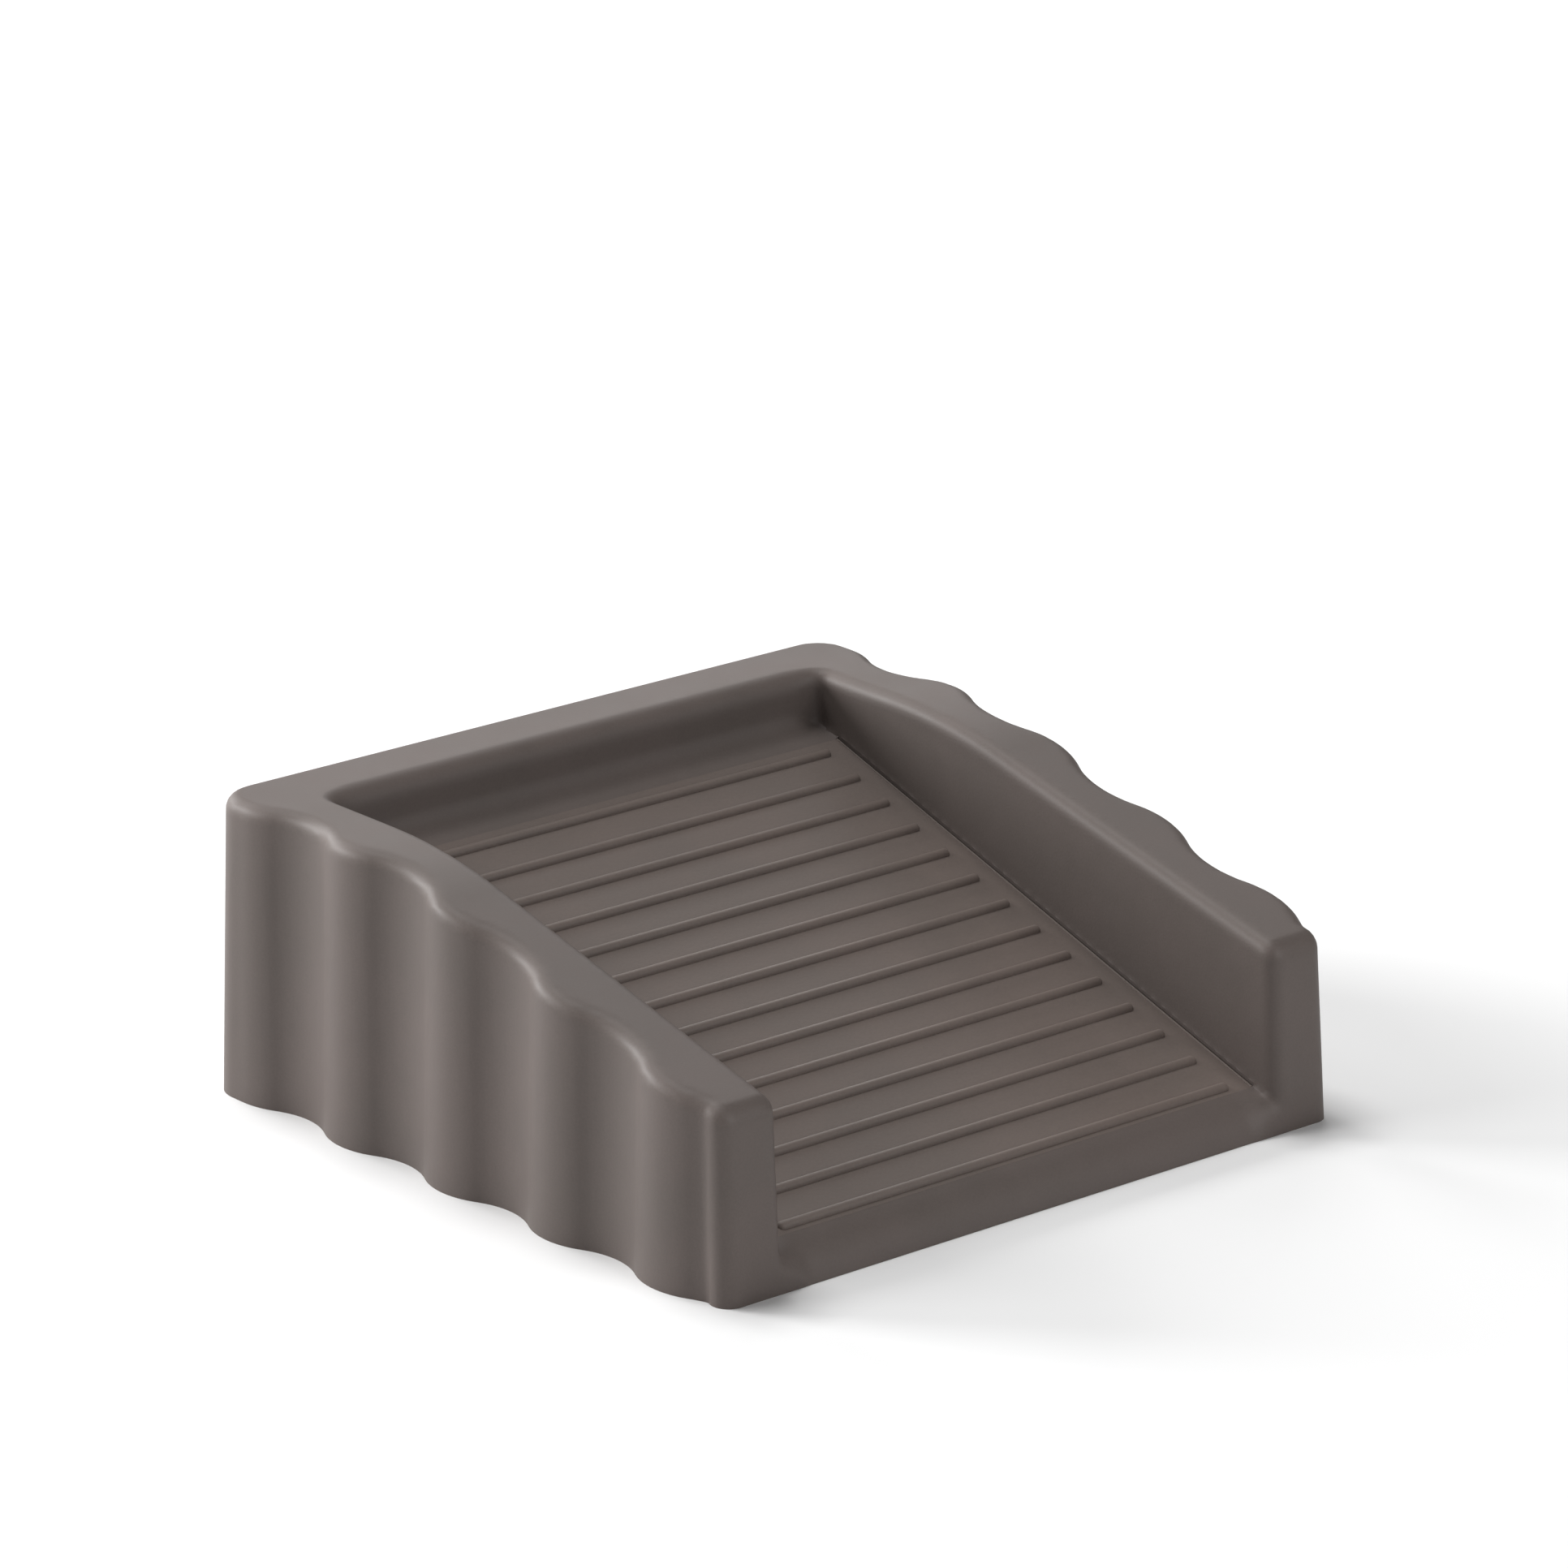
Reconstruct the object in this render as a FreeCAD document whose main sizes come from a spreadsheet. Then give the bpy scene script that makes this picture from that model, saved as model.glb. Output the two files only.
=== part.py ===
"""Fluted door wedge: an outer moulding with a trough, a ribbed ramp tread and a floor grip pad.

Frame of the part: +X across the wedge, -Y towards the low open front, +Z up.
The origin is on the floor, under the middle of the footprint.  All lengths are millimetres.
Every sub-part is modelled with Y = 0 at the front edge of the base and is then set back
by half the overall length, so that the three pieces share one datum.
"""

import FreeCAD, Part
import os
import Sketcher

SIZES = {
    # Outer moulding
    "overall_width": 80.0,
    "overall_length": 78.2,
    "rear_height": 30.8,
    "front_wall_height": 18.6,
    "level_top_length": 28.6,
    "side_draft": 1.2,
    "front_lean": 4.0,
    "rear_corner_radius": 4.1,
    "front_corner_radius": 1.6,
    # Flutes down both sides
    "flute_depth": 1.95,
    "flute_count": 5,
    "first_flute_set_back": 0.7,
    "last_crest_gap": 1.85,
    # Trough and ramp
    "trough_width": 62.4,
    "back_wall_thickness": 9.5,
    "ramp_front_height": 3.0,
    "ramp_rear_drop": 5.6,
    "lip_radius": 3.4,
    "deck_thickness": 3.0,
    # Ribbed tread
    "tread_thickness": 1.6,
    "tread_set_back": 3.4,
    "tread_rear_gap": 3.2,
    "tread_clearance": 0.1,
    "rib_count": 14,
    "rib_radius": 0.5,
    "rib_end_gap": 2.4,
    "first_rib_offset": 1.0,
    "last_rib_offset": 1.7,
    # Studs that hold the tread to the deck
    "stud_diameter": 5.0,
    "stud_head_diameter": 6.6,
    "stud_head_height": 1.5,
    "stud_clearance": 0.15,
    # Cored underside
    "core_margin": 3.0,
    "core_front": 22.0,
    "web_thickness": 2.4,
    # Floor grip pad
    "pad_thickness": 1.5,
    "pad_margin": 1.2,
    "pad_set_back": 9.0,
    "pad_clearance": 0.15,
    "pad_corner_radius": 3.0,
    "grip_groove_count": 11,
    "grip_groove_end_margin": 6.2,
    "grip_groove_width": 1.6,
    "grip_groove_depth": 0.5,
}

CORE_CELLS = 3  # hollows across and along the core, with a stud in the middle of each
BEYOND = 5.0  # how far a cutting outline reaches past the material that it cuts

# A tilt about X, the axis across the wedge; expressions set its angle to the ramp's.
TILT = FreeCAD.Placement(FreeCAD.Vector(0, 0, 0), FreeCAD.Rotation(FreeCAD.Vector(1, 0, 0), 1))

# Expressions in the sheet's names that more than one feature uses.
HALF_WIDTH = "sizes.overall_width / 2"
HALF_TROUGH = "sizes.trough_width / 2"
FLUTE_PITCH = (
    "((sizes.overall_length - sizes.first_flute_set_back - sizes.last_crest_gap"
    " - sizes.rear_corner_radius) / (sizes.flute_count - 0.5))"
)
BACK_WALL_FRONT = "(sizes.overall_length - sizes.back_wall_thickness)"
RAMP_RISE = "(sizes.rear_height - sizes.ramp_rear_drop - sizes.ramp_front_height)"
RAMP_SLOPE = f"({RAMP_RISE} / {BACK_WALL_FRONT})"
RAMP_ANGLE = f"atan({RAMP_SLOPE})"
DECK_DROP = f"((sizes.tread_thickness + sizes.deck_thickness) / cos({RAMP_ANGLE}))"
CORE_BACK = f"({BACK_WALL_FRONT} - sizes.core_margin)"
CORE_WIDTH = "(sizes.trough_width - 2 * sizes.core_margin)"
CELL_WIDTH = f"({CORE_WIDTH} / {CORE_CELLS})"
CELL_LENGTH = f"(({CORE_BACK} - sizes.core_front) / {CORE_CELLS})"
TREAD_BACK = f"({BACK_WALL_FRONT} - sizes.tread_rear_gap)"
TREAD_RUN = f"(({TREAD_BACK} - sizes.tread_set_back) / cos({RAMP_ANGLE}) - 2 * sizes.tread_clearance)"
RIB_PITCH = (
    f"(({TREAD_RUN} - sizes.first_rib_offset - sizes.last_rib_offset) / (sizes.rib_count - 1))"
)
PAD_BACK = f"({BACK_WALL_FRONT} + sizes.pad_margin)"
PAD_HALF_WIDTH = f"({HALF_TROUGH} + sizes.pad_margin)"


def ramp_height(run):
    """Expression for the height of the ramp's surface at the distance run from the front."""
    return f"(sizes.ramp_front_height + ({run}) * {RAMP_SLOPE})"


def make_sheet(doc):
    """Put each driving size in a named cell of a spreadsheet."""
    sheet = doc.addObject("Spreadsheet::Sheet", "sizes")
    for row, (name, value) in enumerate(SIZES.items(), start=1):
        sheet.set(f"A{row}", name)
        sheet.set(f"B{row}", str(value))
        sheet.setAlias(f"B{row}", name)
    doc.recompute()


def add_body(doc, label):
    """Start a sub-part whose front datum is set back by half the overall length."""
    body = doc.addObject("PartDesign::Body", label)
    body.Label = label
    body.setExpression("Placement.Base.y", "-sizes.overall_length / 2")
    return body


def add_sketch(body, name, role):
    """Start a sketch on one of the body's own origin planes."""
    sketch = body.newObject("Sketcher::SketchObject", name)
    plane = next(item for item in body.Origin.OriginFeatures if item.Role == role)
    sketch.AttachmentSupport = [(plane, "")]
    sketch.MapMode = "FlatFace"
    return sketch


def bind(sketch, kind, *ends, drawn, size):
    """Add one dimension, as drawn, to a sketch and bind it to an expression."""
    index = sketch.addConstraint(Sketcher.Constraint(kind, *ends, drawn))
    sketch.setExpression(f"Constraints[{index}]", size)


def level(sketch, edge, end, up):
    """Fix the height of one end of an edge above the sketch's horizontal axis."""
    drawn = sketch.getPoint(edge, end).y
    bind(sketch, "DistanceY", -1, 1, edge, end, drawn=drawn, size=up)


def pin(sketch, edge, end, across, up):
    """Fix one end of an edge by its two distances from the sketch's origin."""
    drawn = sketch.getPoint(edge, end).x
    bind(sketch, "DistanceX", -1, 1, edge, end, drawn=drawn, size=across)
    level(sketch, edge, end, up)


def add_polygon(sketch, corners):
    """Draw a closed outline of straight edges through corners given as expressions."""
    count = len(corners)
    first = sketch.GeometryCount
    for index in range(count):
        here = FreeCAD.Vector(index, index * index, 0)
        after = FreeCAD.Vector((index + 1) % count, ((index + 1) % count) ** 2, 0)
        sketch.addGeometry(Part.LineSegment(here, after))
    for index in range(count):
        following = first + (index + 1) % count
        sketch.addConstraint(Sketcher.Constraint("Coincident", first + index, 2, following, 1))
    for index, (across, up) in enumerate(corners):
        pin(sketch, first + index, 1, across, up)
    return first


def add_rectangle(sketch, half_width, low, high):
    """Draw a rectangle that is symmetric about the sketch's vertical axis."""
    corners = [
        (f"-{half_width}", low),
        (half_width, low),
        (half_width, high),
        (f"-{half_width}", high),
    ]
    return add_polygon(sketch, corners)


def add_circle(sketch, across, up, diameter):
    """Draw a circle whose centre and diameter are expressions."""
    circle = Part.Circle(FreeCAD.Vector(1, 1, 0), FreeCAD.Vector(0, 0, 1), 1)
    index = sketch.addGeometry(circle)
    pin(sketch, index, 3, across, up)
    bind(sketch, "Diameter", index, drawn=2, size=diameter)


def add_feature(body, kind, name, sketch, **settings):
    """Add a sketch-based feature and return it."""
    feature = body.newObject(kind, name)
    feature.Profile = sketch
    sketch.Visibility = False
    for setting, value in settings.items():
        setattr(feature, setting, value)
    return feature


def cut(doc, body, name, sketch, **settings):
    """Add a pocket, and make sure that it takes material away."""
    doc.recompute()
    before = body.Shape.Volume
    pocket = add_feature(body, "PartDesign::Pocket", name, sketch, **settings)
    doc.recompute()
    if body.Shape.Volume > before - 1.0:
        pocket.Reversed = not pocket.Reversed
        doc.recompute()
    if body.Shape.Volume > before - 1.0:
        raise RuntimeError(f"{name} cuts nothing")
    return pocket


def cut_across(doc, body, name, sketch, width):
    """Cut a side profile right across the body, evenly to both sides of the middle."""
    pocket = cut(doc, body, name, sketch, Midplane=True, Length=BEYOND)
    pocket.setExpression("Length", width)
    return pocket


def add_arc(sketch, start, through, end):
    """Draw an arc; return it with the numbers of its first and last ends.

    A sketch runs every arc anticlockwise, so the first end may be the sketch's second.
    """
    index = sketch.addGeometry(Part.Arc(start, through, end))
    if (sketch.getPoint(index, 1) - start).Length < 1e-6:
        return index, 1, 2
    return index, 2, 1


def add_line(sketch, start, end):
    """Draw a straight edge; return it with the numbers of its ends."""
    return sketch.addGeometry(Part.LineSegment(start, end)), 1, 2


def join(sketch, edge, following, kind="Coincident"):
    """Join the last end of one edge to the first end of the next."""
    sketch.addConstraint(Sketcher.Constraint(kind, edge[0], edge[2], following[0], following[1]))


def add_fluted_side(sketch, side):
    """Draw the footprint's left (-1) or right (+1) side, from its front to its rear corner.

    A small front corner runs into the first hollow.  Lobes and hollows of one radius follow in
    turn, all tangent, up to the crest of the last lobe; then a straight edge and the rear corner.
    """
    half = SIZES["overall_width"] / 2
    length = SIZES["overall_length"]
    depth = SIZES["flute_depth"]
    small = SIZES["front_corner_radius"]
    large = SIZES["rear_corner_radius"]
    sign = "-" if side < 0 else ""

    def drawn(inset, back):
        return FreeCAD.Vector(side * (half - inset), back, 0)

    def turn(radius):
        return radius * (1 - 0.5 ** 0.5)

    def station(pitches):
        wave = length - SIZES["first_flute_set_back"] - SIZES["last_crest_gap"] - large
        return SIZES["first_flute_set_back"] + pitches * wave / (SIZES["flute_count"] - 0.5)

    def place(edge, end, inset, back):
        pin(sketch, edge, end, f"{sign}({HALF_WIDTH} - {inset})", back)

    corner = add_arc(
        sketch,
        drawn(depth + small, 0),
        drawn(depth + turn(small), turn(small)),
        drawn(depth, small),
    )
    bind(sketch, "Radius", corner[0], drawn=small, size="sizes.front_corner_radius")

    waves = []
    last = 2 * SIZES["flute_count"] - 1
    for index in range(last + 1):
        middle = index / 2
        inset = 0 if index % 2 else depth
        start = drawn(depth / 2, station(middle - 0.25))
        through = drawn(inset, station(middle))
        end = drawn(depth / 2, station(middle + 0.25))
        if index == 0:
            start = drawn(depth, small)
            through = drawn(0.86 * depth, station(0.125))
        if index == last:
            through = drawn(depth / 8, station(middle - 0.125))
            end = drawn(0, station(middle))
        wave = add_arc(sketch, start, through, end)
        join(sketch, waves[-1] if waves else corner, wave, "Coincident" if waves else "Tangent")
        waves.append(wave)

    def back(pitches):
        return f"(sizes.first_flute_set_back + {pitches} * {FLUTE_PITCH})"

    crest = waves[-1]
    place(crest[0], crest[2], "0", back(last / 2))
    level(sketch, crest[0], 3, back(last / 2))
    level(sketch, waves[0][0], 3, back(0))
    for index, wave in enumerate(waves[:-1]):
        place(wave[0], wave[2], "sizes.flute_depth / 2", back(index / 2 + 0.25))
        sketch.addConstraint(Sketcher.Constraint("Equal", crest[0], wave[0]))

    straight = add_line(sketch, drawn(0, station(last / 2)), drawn(0, length - large))
    join(sketch, crest, straight)
    rear = add_arc(
        sketch,
        drawn(0, length - large),
        drawn(turn(large), length - turn(large)),
        drawn(large, length),
    )
    join(sketch, straight, rear)
    place(rear[0], rear[1], "0", "sizes.overall_length - sizes.rear_corner_radius")
    place(rear[0], rear[2], "sizes.rear_corner_radius", "sizes.overall_length")
    bind(sketch, "Radius", rear[0], drawn=large, size="sizes.rear_corner_radius")
    return corner, rear


def add_footprint(sketch):
    """Draw the outline on the floor: a straight front and back, and two fluted sides."""
    left_front, left_rear = add_fluted_side(sketch, -1)
    right_front, right_rear = add_fluted_side(sketch, 1)
    for left, right, end in ((left_front, right_front, 1), (left_rear, right_rear, 2)):
        start = sketch.getPoint(left[0], left[end])
        finish = sketch.getPoint(right[0], right[end])
        edge, _, _ = add_line(sketch, start, finish)
        kind = "Tangent" if end == 1 else "Coincident"
        sketch.addConstraint(Sketcher.Constraint(kind, left[0], left[end], edge, 1))
        sketch.addConstraint(Sketcher.Constraint(kind, right[0], right[end], edge, 2))
        if end == 1:
            level(sketch, edge, 1, "0")


def upright_edges(shape, chosen):
    """Names of the upright edges whose lower and upper ends satisfy the test chosen."""
    names = []
    for index, edge in enumerate(shape.Edges, start=1):
        ends = (edge.Vertexes[0].Point, edge.Vertexes[-1].Point)
        low, high = sorted(ends, key=lambda end: end.z)
        upright = high.z - low.z > 0.9 * edge.Length
        if upright and chosen(low, high):
            names.append(f"Edge{index}")
    return names


def make_wedge_body(doc):
    """The outer moulding: walls, deck, lip and cored underside, in one piece of elastomer."""
    body = add_body(doc, "wedge_body")

    footprint = add_sketch(body, "footprint", "XY_Plane")
    add_footprint(footprint)
    block = add_feature(body, "PartDesign::Pad", "block", footprint)
    block.setExpression("Length", "sizes.rear_height")
    block.setExpression("TaperAngle", "-sizes.side_draft * 1 deg")
    doc.recompute()

    # Above the walls: level at the rear, then a straight fall to the front ends, which lean back.
    tops = add_sketch(body, "wall_top_line", "YZ_Plane")
    above = f"sizes.rear_height + {BEYOND}"
    lean_at_top = "sizes.front_wall_height * tan(sizes.front_lean * 1 deg)"
    add_polygon(
        tops,
        [
            ("0", "0"),
            (lean_at_top, "sizes.front_wall_height"),
            ("sizes.overall_length - sizes.level_top_length", "sizes.rear_height"),
            ("sizes.overall_length - sizes.level_top_length", above),
            (f"-{BEYOND}", above),
            (f"-{BEYOND}", "0"),
        ],
    )
    cut_across(doc, body, "wall_tops", tops, f"sizes.overall_width + {BEYOND}")

    add_trough(doc, body)
    add_tread_seat(doc, body)
    add_core(doc, body)
    add_pad_recess(doc, body)
    return body


def add_trough(doc, body):
    """The open space between the side walls, above the ramp, with its rounded front lip."""
    trough = add_sketch(body, "trough_profile", "YZ_Plane")
    above = f"sizes.rear_height + {BEYOND}"
    lip = "sizes.lip_radius"
    tangent = f"({lip} * tan((90 deg - {RAMP_ANGLE}) / 2))"
    land = f"(sizes.ramp_front_height - {tangent})"
    run = f"({tangent} * cos({RAMP_ANGLE}))"
    first = add_polygon(
        trough,
        [
            (f"-{BEYOND}", land),
            ("0", land),
            (run, ramp_height(run)),
            (BACK_WALL_FRONT, ramp_height(BACK_WALL_FRONT)),
            (BACK_WALL_FRONT, above),
            (f"-{BEYOND}", above),
        ],
    )
    # The second edge is the chord of the lip's arc; the arc itself takes its place.
    chord = first + 1
    trough.toggleConstruction(chord)
    start = FreeCAD.Vector(0, 0.5, 0)
    middle = FreeCAD.Vector(0.7, 2.4, 0)
    end = FreeCAD.Vector(2.3, 3.8, 0)
    arc = trough.addGeometry(Part.Arc(start, middle, end))
    trough.addConstraint(Sketcher.Constraint("Coincident", arc, 2, chord, 1))
    trough.addConstraint(Sketcher.Constraint("Coincident", arc, 1, chord, 2))
    bind(trough, "Radius", arc, drawn=SIZES["lip_radius"], size=lip)
    cut_across(doc, body, "trough", trough, "sizes.trough_width")


def add_tread_seat(doc, body):
    """The shallow seat in the deck that the tread lies in, flush with the lip."""
    seat = add_sketch(body, "tread_seat_profile", "YZ_Plane")
    lift = f"(sizes.rib_radius + {BEYOND})"
    sine = f"sin({RAMP_ANGLE})"
    cosine = f"cos({RAMP_ANGLE})"

    def square_to_ramp(run, depth):
        """A point at depth under the ramp's surface, measured square to it, below run."""
        return (f"{run} + ({depth}) * {sine}", f"{ramp_height(run)} - ({depth}) * {cosine}")

    add_polygon(
        seat,
        [
            square_to_ramp("sizes.tread_set_back", "sizes.tread_thickness"),
            square_to_ramp(TREAD_BACK, "sizes.tread_thickness"),
            square_to_ramp(TREAD_BACK, f"-{lift}"),
            square_to_ramp("sizes.tread_set_back", f"-{lift}"),
        ],
    )
    cut_across(doc, body, "tread_seat", seat, "sizes.trough_width")


def add_core(doc, body):
    """Hollow under the deck, stiffened by webs, and the holes for the tread's studs."""
    core = add_sketch(body, "core_profile", "YZ_Plane")
    add_core_profile(core)
    cut_across(doc, body, "core", core, CORE_WIDTH)

    for index, side in enumerate((-1, 1)):
        profile = add_sketch(body, f"long_web_profile_{index + 1}", "YZ_Plane")
        profile.setExpression("AttachmentOffset.Base.z", f"{side} * {CELL_WIDTH} / 2")
        add_core_profile(profile)
        web = add_feature(body, "PartDesign::Pad", f"long_web_{index + 1}", profile, Midplane=True)
        web.setExpression("Length", "sizes.web_thickness")

    for index in range(CORE_CELLS - 1):
        across = add_sketch(body, f"cross_web_profile_{index + 1}", "XZ_Plane")
        run = f"(sizes.core_front + {index + 1} * {CELL_LENGTH})"
        across.setExpression("AttachmentOffset.Base.z", f"-{run}")
        ceiling = f"({ramp_height(run)} - {DECK_DROP} + sizes.deck_thickness / 2)"
        add_rectangle(across, f"({CORE_WIDTH} / 2)", "0", ceiling)
        web = add_feature(body, "PartDesign::Pad", f"cross_web_{index + 1}", across, Midplane=True)
        web.setExpression("Length", "sizes.web_thickness")

    holes = add_sketch(body, "stud_holes_plan", "XY_Plane")
    tilt_to_ramp(holes)
    add_stud_circles(holes, "(sizes.stud_diameter + 2 * sizes.stud_clearance)")
    stud_holes = cut(doc, body, "stud_holes", holes, Length=BEYOND)
    stud_holes.setExpression("Length", "sizes.tread_thickness + sizes.deck_thickness + 1")


def add_core_profile(sketch):
    """Side profile of the hollow: a floor, a front, a back and a ceiling along the deck."""
    ceiling_front = f"({ramp_height('sizes.core_front')} - {DECK_DROP})"
    ceiling_back = f"({ramp_height(CORE_BACK)} - {DECK_DROP})"
    add_polygon(
        sketch,
        [
            ("sizes.core_front", "0"),
            (CORE_BACK, "0"),
            (CORE_BACK, ceiling_back),
            ("sizes.core_front", ceiling_front),
        ],
    )


def tilt_to_ramp(sketch):
    """Lay a sketch in the ramp's surface, with its Y axis up the ramp from the front edge."""
    sketch.AttachmentOffset = TILT
    sketch.setExpression("AttachmentOffset.Base.z", "sizes.ramp_front_height")
    sketch.setExpression("AttachmentOffset.Rotation.Angle", RAMP_ANGLE)


def add_stud_circles(sketch, diameter, start="0"):
    """Draw the circles of all studs, with distances up the ramp counted from start.

    The studs lean with the ramp, and it is their heads that stand in the middles of the hollows.
    """
    depth = "(sizes.tread_thickness + sizes.deck_thickness + sizes.stud_head_height / 2)"
    lean = f"{depth} * tan({RAMP_ANGLE})"
    for row in range(CORE_CELLS):
        middle = f"(sizes.core_front + {row + 0.5} * {CELL_LENGTH})"
        up = f"{middle} / cos({RAMP_ANGLE}) - {lean} - {start}"
        for column in range(CORE_CELLS):
            across = f"{column - (CORE_CELLS - 1) / 2} * {CELL_WIDTH}"
            add_circle(sketch, across, up, diameter)


def add_pad_recess(doc, body):
    """The recess in the underside that takes the floor grip pad."""
    recess = add_sketch(body, "pad_recess_plan", "XY_Plane")
    add_rectangle(recess, PAD_HALF_WIDTH, "sizes.pad_set_back", PAD_BACK)
    pocket = cut(doc, body, "pad_recess", recess, Length=BEYOND, Reversed=True)
    pocket.setExpression("Length", "sizes.pad_thickness")
    doc.recompute()

    deepest = SIZES["pad_thickness"] + 0.01
    corners = body.newObject("PartDesign::Fillet", "pad_recess_corners")
    corners.Base = (pocket, upright_edges(pocket.Shape, lambda low, high: high.z < deepest))
    corners.setExpression("Radius", "sizes.pad_corner_radius + sizes.pad_clearance")
    doc.recompute()


def make_ramp_tread(doc):
    """The ribbed tread: a flat sheet with half-round ribs, and studs with heads below.

    It is drawn flat, with its top at Z = 0 and its front edge near Y = 0, and then laid up the ramp.
    """
    body = add_body(doc, "ramp_tread")
    body.Placement = TILT
    body.setExpression("Placement.Rotation.Angle", RAMP_ANGLE)
    body.setExpression("Placement.Base.y", "sizes.tread_set_back - sizes.overall_length / 2")
    body.setExpression("Placement.Base.z", ramp_height("sizes.tread_set_back"))

    front = "sizes.tread_clearance"
    back = f"({front} + {TREAD_RUN})"
    outline = add_sketch(body, "tread_outline", "XY_Plane")
    add_rectangle(outline, f"({HALF_TROUGH} - sizes.tread_clearance)", front, back)
    web = add_feature(body, "PartDesign::Pad", "tread_sheet", outline, Reversed=True)
    web.setExpression("Length", "sizes.tread_thickness")

    first_rib = add_sketch(body, "rib_section", "YZ_Plane")
    add_half_round(first_rib, "sizes.first_rib_offset", "sizes.rib_radius")
    rib = add_feature(body, "PartDesign::Pad", "first_rib", first_rib, Midplane=True)
    rib.setExpression("Length", "sizes.trough_width - 2 * sizes.rib_end_gap")
    ribs = body.newObject("PartDesign::LinearPattern", "ribs")
    ribs.Originals = [rib]
    ribs.Direction = (outline, ["V_Axis"])
    ribs.setExpression("Length", f"{RIB_PITCH} * (sizes.rib_count - 1)")
    ribs.setExpression("Occurrences", "sizes.rib_count")
    body.Tip = ribs
    doc.recompute()

    start = f"sizes.tread_set_back / cos({RAMP_ANGLE})"
    shanks = add_sketch(body, "stud_shanks", "XY_Plane")
    add_stud_circles(shanks, "sizes.stud_diameter", start)
    shank = add_feature(body, "PartDesign::Pad", "studs", shanks, Reversed=True)
    neck = "(sizes.tread_thickness + sizes.deck_thickness + sizes.stud_clearance)"
    shank.setExpression("Length", f"{neck} + sizes.stud_head_height")

    heads = add_sketch(body, "stud_heads_plan", "XY_Plane")
    heads.setExpression("AttachmentOffset.Base.z", f"-{neck}")
    add_stud_circles(heads, "sizes.stud_head_diameter", start)
    head = add_feature(body, "PartDesign::Pad", "stud_heads", heads, Reversed=True)
    head.setExpression("Length", "sizes.stud_head_height")
    doc.recompute()
    return body


def add_half_round(sketch, middle, radius):
    """Draw a half circle that stands on the sketch's horizontal axis."""
    size = SIZES["rib_radius"]
    centre = SIZES["first_rib_offset"]
    left = FreeCAD.Vector(centre - size, 0, 0)
    right = FreeCAD.Vector(centre + size, 0, 0)
    arc = sketch.addGeometry(Part.Arc(right, FreeCAD.Vector(centre, size, 0), left))
    foot = sketch.addGeometry(Part.LineSegment(left, right))
    sketch.addConstraint(Sketcher.Constraint("Coincident", arc, 2, foot, 1))
    sketch.addConstraint(Sketcher.Constraint("Coincident", arc, 1, foot, 2))
    pin(sketch, arc, 1, f"{middle} + {radius}", "0")
    pin(sketch, arc, 2, f"{middle} - {radius}", "0")
    level(sketch, arc, 3, "0")


def make_floor_grip_pad(doc):
    """The anti-slip pad: a flat sheet flush with the floor, with cross grooves below."""
    body = add_body(doc, "floor_grip_pad")
    front = "(sizes.pad_set_back + sizes.pad_clearance)"
    back = f"({PAD_BACK} - sizes.pad_clearance)"
    outline = add_sketch(body, "pad_outline", "XY_Plane")
    add_rectangle(outline, f"({PAD_HALF_WIDTH} - sizes.pad_clearance)", front, back)
    sheet_of_pad = add_feature(body, "PartDesign::Pad", "pad_sheet", outline)
    sheet_of_pad.setExpression("Length", "sizes.pad_thickness")
    doc.recompute()

    corners = body.newObject("PartDesign::Fillet", "pad_corners")
    corners.Base = (sheet_of_pad, upright_edges(sheet_of_pad.Shape, lambda low, high: True))
    corners.setExpression("Radius", "sizes.pad_corner_radius")
    doc.recompute()

    grooves = add_sketch(body, "grip_groove_plan", "XY_Plane")
    middle = f"({front} + sizes.grip_groove_end_margin)"
    low = f"({middle} - sizes.grip_groove_width / 2)"
    high = f"({middle} + sizes.grip_groove_width / 2)"
    add_rectangle(grooves, f"({PAD_HALF_WIDTH} - sizes.pad_corner_radius)", low, high)
    groove = cut(doc, body, "first_groove", grooves, Length=1.0, Reversed=True)
    groove.setExpression("Length", "sizes.grip_groove_depth")
    pattern = body.newObject("PartDesign::LinearPattern", "grip_grooves")
    pattern.Originals = [groove]
    pattern.Direction = (outline, ["V_Axis"])
    pattern.setExpression("Length", f"{back} - {front} - 2 * sizes.grip_groove_end_margin")
    pattern.setExpression("Occurrences", "sizes.grip_groove_count")
    body.Tip = pattern
    doc.recompute()
    return body


def check(doc, bodies):
    """Stop if a feature failed or a sub-part isn't one sound solid."""
    for item in doc.Objects:
        if "Invalid" in item.State or "Error" in item.State:
            raise RuntimeError(f"{item.Name} failed: {item.State}")
    for body in bodies:
        shape = body.Shape
        if shape.isNull() or not shape.isValid():
            raise RuntimeError(f"{body.Label} has no sound shape")
        if len(shape.Solids) != 1:
            raise RuntimeError(f"{body.Label} has {len(shape.Solids)} solids")


def main():
    """Build the three sub-parts and write one STEP file for each."""
    doc = FreeCAD.newDocument("door_wedge")
    make_sheet(doc)
    bodies = [make_wedge_body(doc), make_ramp_tread(doc), make_floor_grip_pad(doc)]
    doc.recompute()
    check(doc, bodies)
    os.makedirs("parts", exist_ok=True)
    for body in bodies:
        box = body.Shape.BoundBox
        print(body.Label, f"{box.XLength:.2f} x {box.YLength:.2f} x {box.ZLength:.2f}", end=" ")
        print(f"volume {body.Shape.Volume:.0f}")
        body.Shape.exportStep(f"parts/{body.Label}.step")


main()
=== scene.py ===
"""Fluted door wedge: a moulded body with a trough, its ribbed ramp tread and a floor grip pad.

Metres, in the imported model's own frame: +X runs across the wedge, -Y towards its open front and
+Z up from the floor.  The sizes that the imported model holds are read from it, and the rest are
named in the classes below.
"""

import logging
import math
from dataclasses import dataclass
from enum import Enum

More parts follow.
